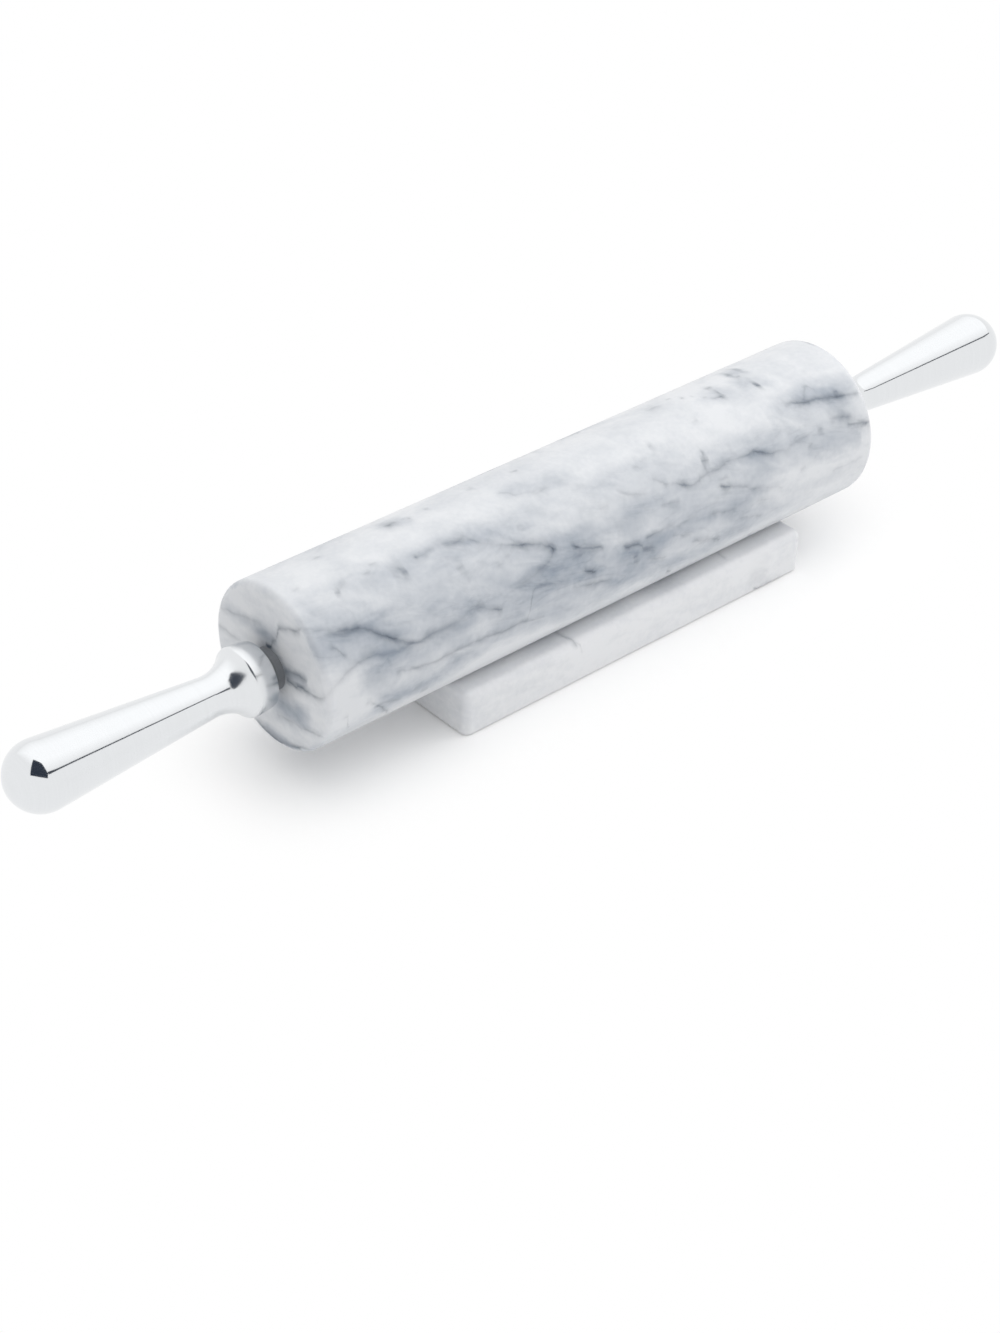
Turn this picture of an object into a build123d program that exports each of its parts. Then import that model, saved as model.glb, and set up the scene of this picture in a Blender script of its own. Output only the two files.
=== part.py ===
from build123d import *
import math
import os

# A marble rolling pin resting on its marble cradle, in millimetres.
# +X runs along the pin towards the right handle and +Z is up. The origin lies
# under the middle of the barrel, on the surface that the cradle stands on.

# Marble barrel
barrel_length = 256.0
barrel_diameter = 60.0
barrel_rim_radius = 2.3
barrel_bore_diameter = 11.5
bore_mouth_chamfer = 0.5

# Steel axle rod, with a threaded spigot and a shoulder at each end
rod_diameter = 10.0
spigot_diameter = 8.0
spigot_length = 24.0
spigot_tip_chamfer = 1.0
relief_depth = 0.7
relief_length = 2.0

# Flanged nylon bushes in the ends of the barrel
bush_diameter = 13.0
bush_sleeve_length = 20.0
bush_flange_diameter = 15.0
bush_flange_thickness = 3.0
bush_edge_chamfer = 0.4

# Thrust washers between the bushes and the handles
washer_diameter = 15.0
washer_thickness = 2.0
washer_edge_chamfer = 0.3

# Turned aluminium handles
handle_length = 94.7
collar_back_diameter = 23.0
collar_front_diameter = 24.4
collar_length = 8.0
collar_bulge = 0.25
collar_back_edge_radius = 0.6
collar_arris_radius = 1.5
flare_radius = 15.0
neck_diameter = 14.0
dome_diameter = 24.0
tapped_hole_depth = 28.0
tapped_hole_chamfer = 0.8
drill_point_angle = 118.0

# Marble cradle under the barrel, set off centre towards the right handle
cradle_length = 164.0
cradle_width = 53.0
cradle_thickness = 17.0
cradle_offset = 15.0
cradle_edge_radius = 3.0
cradle_bottom_chamfer = 0.4
groove_depth = 5.0
groove_edge_radius = 1.0

# Thin pads under the cradle
pad_diameter = 10.0
pad_thickness = 0.5
pad_inset = 14.0

# Fits and clearances
running_clearance = 0.08
bush_seat_clearance = 0.03
bush_seat_end_gap = 0.5
washer_bore_clearance = 0.15
thread_clearance = 0.05
axial_play = 0.3
seat_gap = 0.3

# One overrun serves every cut that passes through a face
cut_overrun = 5.0

# Heights and stations that follow from the sizes above
barrel_radius = barrel_diameter / 2
barrel_end_x = barrel_length / 2
groove_radius = barrel_radius + seat_gap
cradle_top_z = pad_thickness + cradle_thickness
axis_height = cradle_top_z - groove_depth + groove_radius
washer_x = barrel_end_x + bush_flange_thickness + axial_play
shoulder_x = washer_x + washer_thickness
bush_seat_depth = bush_sleeve_length + bush_seat_end_gap


def turned(profile):
    """Turn a profile drawn in the XZ plane, X as the radius, about Z."""
    return revolve(profile, axis=Axis.Z)


def ring(outer_diameter, inner_diameter, thickness):
    """A flat ring standing on the XY plane."""
    disc = Cylinder(outer_diameter / 2, thickness, align=(Align.CENTER, Align.CENTER, Align.MIN))
    hole = Cylinder(inner_diameter / 2, thickness + cut_overrun)
    return disc - hole


def rim_edges(shape, diameter):
    """The circular edges of a turned shape whose diameter comes nearest to the given one."""
    circles = shape.edges().filter_by(GeomType.CIRCLE)
    return circles.group_by(lambda edge: abs(edge.radius - diameter / 2))[0]


def on_pin_axis(shape, start_x):
    """Lay a shape turned about Z along +X, from start_x on the pin's axis."""
    return Pos(start_x, 0, axis_height) * Rot(0, 90, 0) * shape


def both_ends(shape):
    """The shape at the right end of the pin and its mirror image at the left."""
    return {"right": shape, "left": mirror(shape, about=Plane.YZ)}


def marble_barrel():
    """The roller: a marble cylinder, bored through and counterbored for the bushes."""
    roller = Cylinder(barrel_radius, barrel_length)
    roller = fillet(rim_edges(roller, barrel_diameter), barrel_rim_radius)
    roller -= Cylinder(barrel_bore_diameter / 2, barrel_length + cut_overrun)
    seat_diameter = bush_diameter + 2 * bush_seat_clearance
    seat = Cylinder(seat_diameter / 2, bush_seat_depth, align=(Align.CENTER, Align.CENTER, Align.MAX))
    roller -= Pos(0, 0, barrel_end_x) * seat
    roller -= Pos(0, 0, -barrel_end_x) * Rot(180, 0, 0) * seat
    rims = rim_edges(roller, seat_diameter).sort_by(Axis.Z)
    roller = chamfer([rims[0], rims[-1]], bore_mouth_chamfer)
    return Pos(0, 0, axis_height) * Rot(0, 90, 0) * roller


def flanged_bush():
    """The right bush: a sleeve in the counterbore and a flange on the barrel's end face."""
    bore_diameter = rod_diameter + 2 * running_clearance
    flange_radius = bush_flange_diameter / 2
    sleeve = Cylinder(bush_diameter / 2, bush_sleeve_length, align=(Align.CENTER, Align.CENTER, Align.MAX))
    flange = Cylinder(flange_radius, bush_flange_thickness, align=(Align.CENTER, Align.CENTER, Align.MIN))
    bush = sleeve + flange
    bush -= Cylinder(bore_diameter / 2, 2 * (bush_sleeve_length + bush_flange_thickness))
    bush = chamfer(rim_edges(bush, bore_diameter), bush_edge_chamfer)
    bush = chamfer(rim_edges(bush, bush_flange_diameter).sort_by(Axis.Z)[-1], bush_edge_chamfer)
    bush = chamfer(rim_edges(bush, bush_diameter).sort_by(Axis.Z)[0], bush_edge_chamfer)
    return on_pin_axis(bush, barrel_end_x)


def thrust_washer():
    """The right washer, flat against the back of the handle's collar."""
    bore_diameter = rod_diameter + 2 * washer_bore_clearance
    washer = ring(washer_diameter, bore_diameter, washer_thickness)
    washer = chamfer(rim_edges(washer, washer_diameter), washer_edge_chamfer)
    return on_pin_axis(washer, washer_x)


def axle_rod():
    """The rod through the barrel, shouldered where the handles screw up tight."""
    rod = Cylinder(rod_diameter / 2, 2 * shoulder_x)
    spigot = Cylinder(spigot_diameter / 2, spigot_length, align=(Align.CENTER, Align.CENTER, Align.MIN))
    spigot = chamfer(rim_edges(spigot, spigot_diameter).sort_by(Axis.Z)[-1], spigot_tip_chamfer)
    spigot -= ring(rod_diameter, spigot_diameter - 2 * relief_depth, relief_length)
    rod += Pos(0, 0, shoulder_x) * spigot
    rod += Pos(0, 0, -shoulder_x) * Rot(180, 0, 0) * spigot
    return Pos(0, 0, axis_height) * Rot(0, 90, 0) * rod


def handle_profile():
    """Half outline of a handle, with its length along Z from the collar's back face."""
    back_radius = collar_back_diameter / 2
    front_radius = collar_front_diameter / 2
    dome_radius = dome_diameter / 2
    # The flare is an arc that hollows down from the collar's arris to the neck
    flare_centre_r = neck_diameter / 2 + flare_radius
    flare_drop = flare_centre_r - front_radius
    flare_centre_z = collar_length + math.sqrt(flare_radius**2 - flare_drop**2)
    # The dome is a ball, and one straight taper touches both the flare and the ball
    dome_centre_z = handle_length - dome_radius
    run = dome_centre_z - flare_centre_z
    span = math.hypot(run, flare_centre_r)
    taper = math.asin((flare_radius + dome_radius) / span) - math.atan2(flare_centre_r, run)

    def flare_point(angle):
        height = flare_centre_z + flare_radius * math.sin(angle)
        return (flare_centre_r - flare_radius * math.cos(angle), height)

    def dome_point(angle):
        return (dome_radius * math.cos(angle), dome_centre_z + dome_radius * math.sin(angle))

    arris_angle = math.asin((collar_length - flare_centre_z) / flare_radius)
    pole_angle = math.pi / 2
    back_rim = (back_radius, 0)
    collar_middle = ((back_radius + front_radius) / 2 + collar_bulge, collar_length / 2)
    arris = (front_radius, collar_length)
    flare_end = flare_point(taper)
    dome_start = dome_point(-taper)
    pole = dome_point(pole_angle)
    outline = Line((0, 0), back_rim)
    outline += ThreePointArc(back_rim, collar_middle, arris)
    outline += ThreePointArc(arris, flare_point((arris_angle + taper) / 2), flare_end)
    outline += Line(flare_end, dome_start)
    outline += ThreePointArc(dome_start, dome_point((pole_angle - taper) / 2), pole)
    outline += Line(pole, (0, 0))
    return Plane.XZ * make_face(outline)


def tapped_hole():
    """The blind hole for the rod's spigot, with a countersunk mouth and a drill point."""
    hole_radius = spigot_diameter / 2 + thread_clearance
    mouth_radius = hole_radius + tapped_hole_chamfer
    point_length = hole_radius / math.tan(math.radians(drill_point_angle / 2))
    hole = Polyline(
        (0, 0),
        (mouth_radius, 0),
        (hole_radius, tapped_hole_chamfer),
        (hole_radius, tapped_hole_depth),
        (0, tapped_hole_depth + point_length),
        (0, 0),
    )
    return turned(Plane.XZ * make_face(hole))


def turned_handle():
    """The right handle: collar, flare, tapered grip and domed end, in one piece."""
    handle = turned(handle_profile())
    handle = fillet(rim_edges(handle, collar_back_diameter), collar_back_edge_radius)
    handle = fillet(rim_edges(handle, collar_front_diameter), collar_arris_radius)
    handle -= tapped_hole()
    return on_pin_axis(handle, shoulder_x)


def cradle_base():
    """The marble slab, with a groove along its top that the barrel lies in."""
    slab = Box(cradle_length, cradle_width, cradle_thickness, align=(Align.CENTER, Align.CENTER, Align.MIN))
    corners = slab.edges().filter_by(Axis.Z)
    top_edges = slab.edges().group_by(Axis.Z)[-1]
    slab = fillet(corners + top_edges, cradle_edge_radius)
    slab = chamfer(slab.edges().group_by(Axis.Z)[0], cradle_bottom_chamfer)
    groove = Rot(0, 90, 0) * Cylinder(groove_radius, cradle_length + cut_overrun)
    slab -= Pos(0, 0, axis_height - pad_thickness) * groove
    long_edges = slab.edges().filter_by(Axis.X).group_by(Axis.Z)[-1]
    crests = long_edges.sort_by(lambda edge: abs(edge.center().Y))[:2]
    slab = fillet(crests, groove_edge_radius)
    return Pos(cradle_offset, 0, pad_thickness) * slab


def cradle_pads():
    """Four round pads stuck under the corners of the slab."""
    pad = Cylinder(pad_diameter / 2, pad_thickness, align=(Align.CENTER, Align.CENTER, Align.MIN))
    spacing_x = cradle_length - 2 * pad_inset
    spacing_y = cradle_width - 2 * pad_inset
    places = GridLocations(spacing_x, spacing_y, 2, 2)
    return Pos(cradle_offset, 0, 0) * Compound(children=[place * pad for place in places])


def build_all():
    """Every node of the rolling pin, by name."""
    nodes = {"marble_barrel": marble_barrel(), "axle_rod": axle_rod()}
    paired = {"bush": flanged_bush(), "washer": thrust_washer(), "handle": turned_handle()}
    for piece, shape in paired.items():
        for side, placed in both_ends(shape).items():
            nodes[f"{side}_{piece}"] = placed
    nodes["cradle_base"] = cradle_base()
    nodes["cradle_pads"] = cradle_pads()
    return nodes


os.makedirs("parts", exist_ok=True)
for name, shape in build_all().items():
    export_step(shape, f"parts/{name}.step")
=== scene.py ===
"""Looks for a marble rolling pin that rests in its marble cradle, in a white studio."""

import logging
import math
from dataclasses import dataclass
from enum import Enum

import bpy
from mathutils import Matrix, Vector

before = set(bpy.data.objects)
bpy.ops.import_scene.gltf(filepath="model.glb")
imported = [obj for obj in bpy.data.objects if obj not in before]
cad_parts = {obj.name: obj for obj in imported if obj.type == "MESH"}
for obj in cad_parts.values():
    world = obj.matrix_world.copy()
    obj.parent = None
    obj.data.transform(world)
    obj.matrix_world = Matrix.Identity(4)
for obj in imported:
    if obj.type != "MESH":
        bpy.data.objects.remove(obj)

LOG = logging.getLogger("rolling_pin")
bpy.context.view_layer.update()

# One millimetre in the scene's metres, and the height of the pin's axis over the floor
MM = 0.001
AXIS_HEIGHT = 42.8

Tree = bpy.types.NodeTree
Socket = bpy.types.NodeSocket


class Sum(Enum):
    """The sums that the patterns are made with."""

    ADD = "ADD"
    SUBTRACT = "SUBTRACT"
    MULTIPLY = "MULTIPLY"
    DIVIDE = "DIVIDE"
    SCALE = "SCALE"
    MAXIMUM = "MAXIMUM"
    MINIMUM = "MINIMUM"
    ABSOLUTE = "ABSOLUTE"
    DOT = "DOT_PRODUCT"
    LENGTH = "LENGTH"
    ANGLE = "ARCTAN2"


class Ramp(Enum):
    """How a value passes from one level to another."""

    SMOOTH = "SMOOTHSTEP"


def linear(colour: str) -> tuple[float, float, float, float]:
    """Turns an sRGB hex colour into linear light.

    Args:
        colour: Six hex digits after a hash, as in "#e6e8ea".

    Returns:
        Red, green and blue in linear light, and an alpha of 1.
    """
    shares = [int(colour[i : i + 2], 16) / 255 for i in (1, 3, 5)]
    light = [c / 12.92 if c <= 0.04045 else ((c + 0.055) / 1.055) ** 2.4 for c in shares]
    return (*light, 1.0)


def add_node(tree: Tree, kind: str, inputs: dict | None = None, **settings: object) -> bpy.types.Node:
    """Adds one node with its settings, its values and its links.

    Args:
        tree: The node tree that takes the node.
        kind: The node's type, without the ShaderNode that each type begins with.
        inputs: Values or sockets for its inputs, by name or by place.
        **settings: The node's own properties.

    Returns:
        The new node.
    """
    node = tree.nodes.new("ShaderNode" + kind)
    for name, value in settings.items():
        setattr(node, name, value.value if isinstance(value, Enum) else value)
    for key, value in (inputs or {}).items():
        if isinstance(value, bpy.types.NodeSocket):
            tree.links.new(value, node.inputs[key])
        else:
            node.inputs[key].default_value = value
    return node


@dataclass(frozen=True)
class Vein:
    """A vein drawn along a chart of the stone.

    Its stations give the place along, the place across and how dark it is there from 0 to 1.
    """

    half_width: float
    stations: tuple[tuple[float, float, float], ...]


@dataclass(frozen=True)
class Blot:
    """A soft spot or cloud drawn on a chart of the stone."""

    along: float
    across: float
    reach: tuple[float, float]
    dark: float
    lean: float = 0.0

    def as_vein(self) -> Vein:
        """Gives the blot as a short wide vein that swells in its middle.

        Returns:
            The vein.
        """
        swell = ((-1.0, 0.0), (-0.6, 0.65), (0.0, 1.0), (0.6, 0.65), (1.0, 0.0))
        half = self.reach[0]
        stations = tuple(
            (self.along + t * half, self.across + t * half * self.lean, share * self.dark)
            for t, share in swell
        )
        return Vein(self.reach[1], stations)


@dataclass(frozen=True)
class VeinChart:
    """Veins on a flat or unrolled face, packed into as few curve nodes as they need.

    The chart runs from low_along over span_along millimetres, and from low_across over span_across.
    """

    veins: tuple[Vein | Blot, ...]
    low_along: float
    span_along: float
    low_across: float
    span_across: float
    gap: float = 1.5
    # A vein is a dark core in a fainter halo; a cloud is one soft swell
    halo: float = 0.5
    widen: float = 2.6
    soft: bool = False

    def tracks(self) -> list[list[Vein]]:
        """Sorts the veins into tracks, in which none lies over another.

        Returns:
            The tracks, each with its veins in order.
        """
        drawn = [v.as_vein() if isinstance(v, Blot) else v for v in self.veins]
        tracks: list[list[Vein]] = []
        for vein in sorted(drawn, key=lambda v: v.stations[0][0]):
            for track in tracks:
                if track[-1].stations[-1][0] + 2 * self.gap < vein.stations[0][0]:
                    track.append(vein)
                    break
            else:
                tracks.append([vein])
        return tracks

    def profiles(self, track: list[Vein]) -> list[list[tuple[float, float]]]:
        """Turns a track into three profiles over the chart's length.

        Args:
            track: Veins that don't overlap, in order.

        Returns:
            The place across, the darkness and the half-width, each as points from 0 to 1.
        """
        place, dark, width = [], [], []
        for vein in track:
            ends = (vein.stations[0], vein.stations[-1])
            for (along, across, _), step in zip(ends, (-self.gap, self.gap)):
                spot = (along + step - self.low_along) / self.span_along
                place.append((spot, (across - self.low_across) / self.span_across))
                dark.append((spot, 0.0))
                width.append((spot, vein.half_width * self.widen / self.span_across))
            for along, across, depth in vein.stations:
                spot = (along - self.low_along) / self.span_along
                place.append((spot, (across - self.low_across) / self.span_across))
                dark.append((spot, depth))
        return [sorted(place), sorted(dark), sorted(width)]

    def curves(self, tree: Tree, along: Socket, profiles: list[list[tuple[float, float]]]) -> Socket:
        """Adds one curve node that reads up to three profiles at once.

        Args:
            tree: The node tree.
            along: The place along the chart, from 0 to 1.
            profiles: Up to three profiles.

        Returns:
            The three values as one vector.
        """
        node = add_node(tree, "RGBCurve", {"Color": along})
        for channel, points in zip(node.mapping.curves, profiles):
            inside = [(min(max(x, 0.0), 1.0), y) for x, y in points]
            channel.points[0].location, channel.points[1].location = inside[0], inside[-1]
            for x, y in inside[1:-1]:
                channel.points.new(x, y)
            for point in channel.points:
                point.handle_type = "AUTO_CLAMPED"
        for channel in node.mapping.curves[len(profiles) : 3]:
            channel.points[0].location, channel.points[1].location = (0.0, 0.5), (1.0, 0.5)
        node.mapping.extend = "HORIZONTAL"
        node.mapping.update()
        return node.outputs[0]

    def core(self, tree: Tree, near: Socket) -> Socket:
        """Adds a vein's section: a faint halo that rises to a dark core.

        Args:
            tree: The node tree.
            near: How near the middle of each vein the place is, from 0 to 1.

        Returns:
            The section, from 0 to 1.
        """
        halo = add_node(tree, "VectorMath", {0: near, 1: near}, operation=Sum.MULTIPLY).outputs[0]
        core = add_node(tree, "VectorMath", {0: halo, 1: halo}, operation=Sum.MULTIPLY).outputs[0]
        halo = add_node(tree, "VectorMath", {0: halo, "Scale": self.halo}, operation=Sum.SCALE).outputs[0]
        inner = 1.0 - self.halo
        core = add_node(tree, "VectorMath", {0: core, "Scale": inner}, operation=Sum.SCALE).outputs[0]
        return add_node(tree, "VectorMath", {0: halo, 1: core}, operation=Sum.ADD).outputs[0]

    def swell(self, tree: Tree, near: Socket) -> Socket:
        """Adds a cloud's section: one smooth swell without an edge.

        Args:
            tree: The node tree.
            near: How near the middle of each cloud the place is, from 0 to 1.

        Returns:
            The section, from 0 to 1.
        """
        square = add_node(tree, "VectorMath", {0: near, 1: near}, operation=Sum.MULTIPLY).outputs[0]
        twice = add_node(tree, "VectorMath", {0: near, "Scale": 2.0}, operation=Sum.SCALE).outputs[0]
        rest = add_node(tree, "VectorMath", {0: (3.0, 3.0, 3.0), 1: twice}, operation=Sum.SUBTRACT).outputs[0]
        return add_node(tree, "VectorMath", {0: square, 1: rest}, operation=Sum.MULTIPLY).outputs[0]

    def darkness(self, tree: Tree, along: Socket, across: Socket) -> Socket:
        """Adds the nodes that say how dark the veins are at a place.

        Args:
            tree: The node tree.
            along: The place along the chart, in millimetres.
            across: The place across the chart, in millimetres.

        Returns:
            The darkness, from 0 to about 1.
        """
        here = add_node(
            tree,
            "MapRange",
            {"Value": along, "From Min": self.low_along, "From Max": self.low_along + self.span_along},
        ).outputs[0]
        there = add_node(
            tree,
            "MapRange",
            {"Value": across, "From Min": self.low_across, "From Max": self.low_across + self.span_across},
            clamp=False,
        ).outputs[0]
        spots = add_node(tree, "CombineXYZ", {0: here, 1: here, 2: here}).outputs[0]
        level = add_node(tree, "CombineXYZ", {0: there, 1: there, 2: there}).outputs[0]
        tracks = self.tracks()
        total: Socket | float = 0.0
        for first in range(0, len(tracks), 3):
            bundle = [self.profiles(t) for t in tracks[first : first + 3]]
            place, dark, width = (self.curves(tree, spots, [p[k] for p in bundle]) for k in range(3))
            off = add_node(tree, "VectorMath", {0: level, 1: place}, operation=Sum.SUBTRACT).outputs[0]
            off = add_node(tree, "VectorMath", {0: off}, operation=Sum.ABSOLUTE).outputs[0]
            off = add_node(tree, "VectorMath", {0: off, 1: width}, operation=Sum.DIVIDE).outputs[0]
            ones, zeros = (1.0, 1.0, 1.0), (0.0, 0.0, 0.0)
            near = add_node(tree, "VectorMath", {0: ones, 1: off}, operation=Sum.SUBTRACT).outputs[0]
            near = add_node(tree, "VectorMath", {0: near, 1: zeros}, operation=Sum.MAXIMUM).outputs[0]
            used = [1.0 if k < len(bundle) else 0.0 for k in range(3)]
            dark = add_node(tree, "VectorMath", {0: dark, 1: used}, operation=Sum.MULTIPLY).outputs[0]
            shape = self.swell(tree, near) if self.soft else self.core(tree, near)
            share = add_node(tree, "VectorMath", {0: shape, 1: dark}, operation=Sum.DOT).outputs["Value"]
            total = add_node(tree, "Math", {0: total, 1: share}, operation=Sum.ADD).outputs[0]
        return total


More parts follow.
